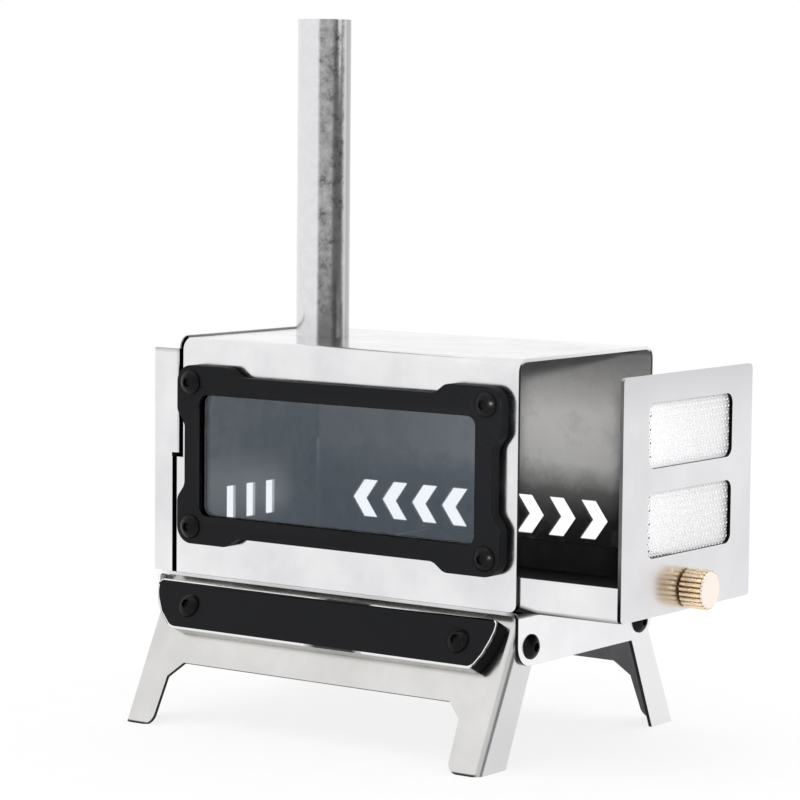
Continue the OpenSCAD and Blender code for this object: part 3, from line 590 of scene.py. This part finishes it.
# One eye in its cell: from the straight sides of the cell to an oval hole whose lip is twisted.
def mesh_eye(shape, left, right, foot, tall):
    half = (right - left) / 2
    hole = 0.27 * (right - left)

    def sides(a):
        reach = 1 / max(abs(cos(a)), abs(sin(a)))
        return 0, half * cos(a) * reach, tall / 2 * sin(a) * reach

    def lip(a):
        return 0.12 * sin(a), hole * cos(a), 0.40 * sin(a)

    turned(shape, here @ Matrix.Translation((mesh_x, (left + right) / 2, foot + tall / 2)), [sides, lip], 12)


shape = bmesh.new()
for row in range(rows):
    shift = 0.5 * (row % 2)
    for column in range(columns + row % 2):
        left = mesh_left + max(0, column - shift) * mesh_w / columns
        right = mesh_left + min(columns, column + 1 - shift) * mesh_w / columns
        mesh_eye(shape, left, right, mesh_foot + row * mesh_h / rows, mesh_h / rows)
bmesh.ops.remove_doubles(shape, verts=shape.verts, dist=0.02 * mm)
bmesh.ops.recalc_face_normals(shape, faces=shape.faces)
bmesh.ops.solidify(shape, geom=shape.faces[:], thickness=0.12 * mm)
finished(shape, "mesh_expanded", "drawer", wire, "mesh_screen")

# Knob: turned brass with a straight knurl, both rims chamfered, held by a screw from inside the tray.
# The ridges are polished and the grooves brown, and the end face is painted nearly white as a
# painted highlight. Its lengths are in millimetres.
knob_z = 6.7
knob_x = 100
knob_r = 6.0
ridges = 23
groove = 0.55
brass_size = 1.67 * mm
brass, tree, sockets = material("turned_brass")
spot = add(tree, "TexCoord")["Object"]
fleck = add(tree, "TexNoise", {"Vector": spot, "Scale": 1 / brass_size, "Detail": 4.0})[0]
axes = add(tree, "SeparateXYZ", {0: spot})
drop = add(tree, "Math", {0: axes["Z"], 1: -(shell_low[2] + knob_z * mm)}, operation="ADD")[0]
flat = add(tree, "CombineXYZ", {0: axes["Y"], 1: drop})[0]
radius = add(tree, "VectorMath", {0: flat}, operation="LENGTH")["Value"]
ridge = add(tree, "MapRange", {0: radius, 1: 5.5 * mm, 2: 5.9 * mm})[0]
end = add(tree, "MapRange", {0: axes["X"], 1: 0.0917, 2: 0.0921})[0]
polished = add(tree, "Math", {0: ridge, 1: end}, operation="MAXIMUM")[0]
gold = add(tree, "ValToRGB", {0: fleck}, [(0.3, "#f0d7ad"), (0.7, "#fdecd4")])[0]
# The end face is painted nearly white, a painted highlight.
gold = add(tree, "Mix", {0: end, 6: gold, 7: tint("#fff3ea")}, data_type="RGBA")[2]
shade = add(tree, "Mix", {0: polished, 6: tint("#8f6c44"), 7: gold}, data_type="RGBA")[2]
tree.links.new(shade, sockets["Base Color"])
tree.links.new(add(tree, "ValToRGB", {0: fleck}, [(0.3, 0.22), (0.7, 0.32)])[0], sockets["Roughness"])
sockets["Metallic"].default_value = 1.0


# The radius of the knob around its axis: straight grooves with sloping sides.
def knurl(top):
    return lambda a: top - groove * max(0.0, 1 - abs((a * ridges / (2 * pi)) % 1 - 0.5) / 0.28)


knob_rings = [(0, 0), (5.0, 0), (5.25, 0.1), (knurl(5.75), 0.55), (knurl(knob_r), 0.8), (knurl(knob_r), 4.0),
              (knurl(knob_r), 7.4), (knurl(5.75), 7.75), (5.2, 8.15), (4.9, 8.2), (0, 8.2)]
shape = bmesh.new()
along = Matrix.Rotation(radians(90), 4, "Y")
turned(shape, here @ Matrix.Translation((knob_x, 0, knob_z)) @ along, knob_rings, 10 * ridges)
finished(shape, "drawer_knob_turned", "drawer", brass, "drawer_knob", 40)

# Legs: 1.2 mm stainless plates with two feet and side flanges, turning on screws in the base's ends.
# They are a little warmer than the shell. Their right flanges are painted brighter as painted light,
# their soles are painted dark as painted shade, and behind they are dark grey as painted shade.
# The right flanges are painted brighter, the rear one most, as painted light.
right_flange = ("X", 0.0468, 0.0474)
painted(plain, "#dadadb", right_flange)
painted(plain, "#ebebec", right_flange, ("Y", 0.0, 1.0 * mm))
# The lowest half millimetre of the feet is painted dark, a painted contact shadow.
painted(plain, "#3a3a3c", ("Z", 0.8 * mm, 0.5 * mm), ("X", 0.047, 0.046))
# The legs' inner sides take the dark grey steel, a painted shade.
for node, body, side in [("front_leg", "leg_front", 1), ("rear_leg", "leg_rear", -1)]:
    folded(node, body, 1.2 * mm, plain, dull, cut, cut, (-0.02, side * 0.02, 0.01))

# Bars on the legs: coated like the frame and screwed on, bare above and below. Metal shows where
# their edges are broken; the coat still covers the middle of each edge.
lean = radians(26)
scrape_size = 3.33 * mm
bare, tree, sockets = material("broken_bare_edge")
spot = add(tree, "TexCoord")["Object"]
along_bar = add(tree, "SeparateXYZ", {0: spot})["X"]
fleck = add(tree, "TexNoise", {"Vector": spot, "Scale": 1 / scrape_size, "Detail": 4.0})[0]
ragged = add(tree, "Math", {0: fleck, 1: 6.0 * mm, 2: along_bar}, operation="MULTIPLY_ADD")[0]
share = add(tree, "MapRange", {0: ragged, 1: -0.08, 2: 0.06})[0]
scrapes = [(0.0, 1.0), (0.415, 1.0), (0.45, 0.0), (0.56, 0.0), (0.575, 1.0), (1.0, 1.0)]
worn = add(tree, "ValToRGB", {0: share}, scrapes)[0]
tone = add(tree, "Mix", {0: worn, 6: tint("#0c0d10"), 7: tint("#f0f0f1")}, data_type="RGBA")[2]
tree.links.new(tone, sockets["Base Color"])
tree.links.new(worn, sockets["Metallic"])
tree.links.new(add(tree, "ValToRGB", {0: fleck}, [(0.3, 0.2), (0.7, 0.35)])[0], sockets["Roughness"])
for node, body, side in [("front_bar", "leg_front", -1), ("rear_bar", "leg_rear", 1)]:
    out = (0, side * cos(lean), sin(lean))
    chamfered(node, body, out, 2.0 * mm, 0.6 * mm, lambda offset: False, bare, rubbed, plain, False)

# Screws and nuts: M4 button heads with a hexagon socket and a threaded shank, and hexagon nuts with
# both faces chamfered, all of steel blackened by oxide. Their lengths are in millimetres.
oxide_size = 1.11 * mm
oxide, tree, sockets = material("black_oxide_steel")
spot = add(tree, "TexCoord")["Object"]
fleck = add(tree, "TexNoise", {"Vector": spot, "Scale": 1 / oxide_size, "Detail": 3.0})[0]
hue = add(tree, "ValToRGB", {0: fleck}, [(0.3, "#050506"), (0.7, "#0b0b0d")])[0]
tree.links.new(hue, sockets["Base Color"])
tree.links.new(add(tree, "ValToRGB", {0: fleck}, [(0.3, 0.24), (0.7, 0.34)])[0], sockets["Roughness"])
sockets["Specular IOR Level"].default_value = 0.15


# The radius of a hexagon around its middle, from its width across flats.
def hexagon(flats):
    return lambda a: flats / 2 / cos(a % (pi / 3) - pi / 6)


# A screw whose head sits at the place and whose shank reaches 4 mm past the sheets that it grips.
def screw(shape, place, grip):
    pitch = 0.7
    dome_r = 4.911
    dome_drop = 2.711
    tip = -grip - 4
    thread = [(0, tip), (1.5, tip), (1.75, tip + 0.2)]
    step = tip + 0.4
    while step < -0.9:
        thread += [(1.98, step), (1.98, step + 0.08), (1.68, step + 0.36), (1.68, step + 0.44)]
        step += pitch
    head = [(2.0, -0.5), (2.0, 0), (3.66, 0), (3.8, 0.12), (3.8, 0.36)]
    dome = [(r, sqrt(dome_r ** 2 - r ** 2) - dome_drop) for r in (3.72, 3.5, 3.2, 2.8, 2.4, 2.0, 1.72)]
    socket = [(hexagon(2.62), 1.9), (hexagon(2.5), 1.8), (hexagon(2.5), 0.85), (0, 0.5)]
    turned(shape, place, thread + head + dome + socket, 48)


# A nut whose upper face lies at the seat.
def nut(shape, place, seat):
    bore = 2.05
    face_r = 3.3
    corner_r = 3.95
    flats = hexagon(7.0)

    def side(a):
        return min(flats(a), corner_r)

    rings = [(bore, -3.2), (face_r, -3.2), (side, -2.88), (side, -0.32), (face_r, 0), (bore, 0)]
    turned(shape, place, [(radius, seat + height) for radius, height in rings], 72, closed=True)


frame_middle = (-1.3, -41.5, 38.6)
pivot_y = 30.6
pivot_z = -10.8
leg_middle = -4.775
bar_place = (51.925, -12, -4.1)
outward = Matrix.Rotation(radians(90), 4, "X")
window = [Matrix.Translation(frame_middle) @ Matrix.Translation((sx * 56.4, 0, sz * 22.9)) @ outward
          for sx in (-1, 1) for sz in (-1, 1)]
pivots = [Matrix.Translation((x, y, pivot_z)) @ Matrix.Rotation(radians(turn), 4, "Y")
          for x, turn in [(65, 90), (-74.55, -90)] for y in (-pivot_y, pivot_y)]
hinge = Matrix.Translation((0, -pivot_y, pivot_z)) @ Matrix.Rotation(-lean, 4, "X")
bars = []
for turn in (0, pi):
    leg = Matrix.Translation((leg_middle, 0, 0)) @ Matrix.Rotation(turn, 4, "Z") @ hinge
    bars.append([leg @ Matrix.Translation((s * bar_place[0], *bar_place[1:])) @ outward for s in (-1, 1)])
for group, places, body, grip in [("frame", window, "stove", 5.0), ("pivot", pivots, "stove", 2.55),
                                  ("front_bar", bars[0], "leg_front", 6.2),
                                  ("rear_bar", bars[1], "leg_rear", 6.2)]:
    shape = bmesh.new()
    for i, place in enumerate(places):
        screw(shape, here @ place @ Matrix.Rotation(0.4 + 0.7 * i, 4, "Z"), grip)
    finished(shape, group + "_screws_turned", body, oxide, group + "_screws")
    shape = bmesh.new()
    for i, place in enumerate(places):
        nut(shape, here @ place @ Matrix.Rotation(0.2 + 0.5 * i, 4, "Z"), -grip)
    finished(shape, group + "_nuts_cut", body, oxide, group + "_nuts", 25)

# Screw that holds the knob: the same blackened steel.
# Its head lies inside the tray.
nodes["knob_screw"].data.materials[0] = oxide
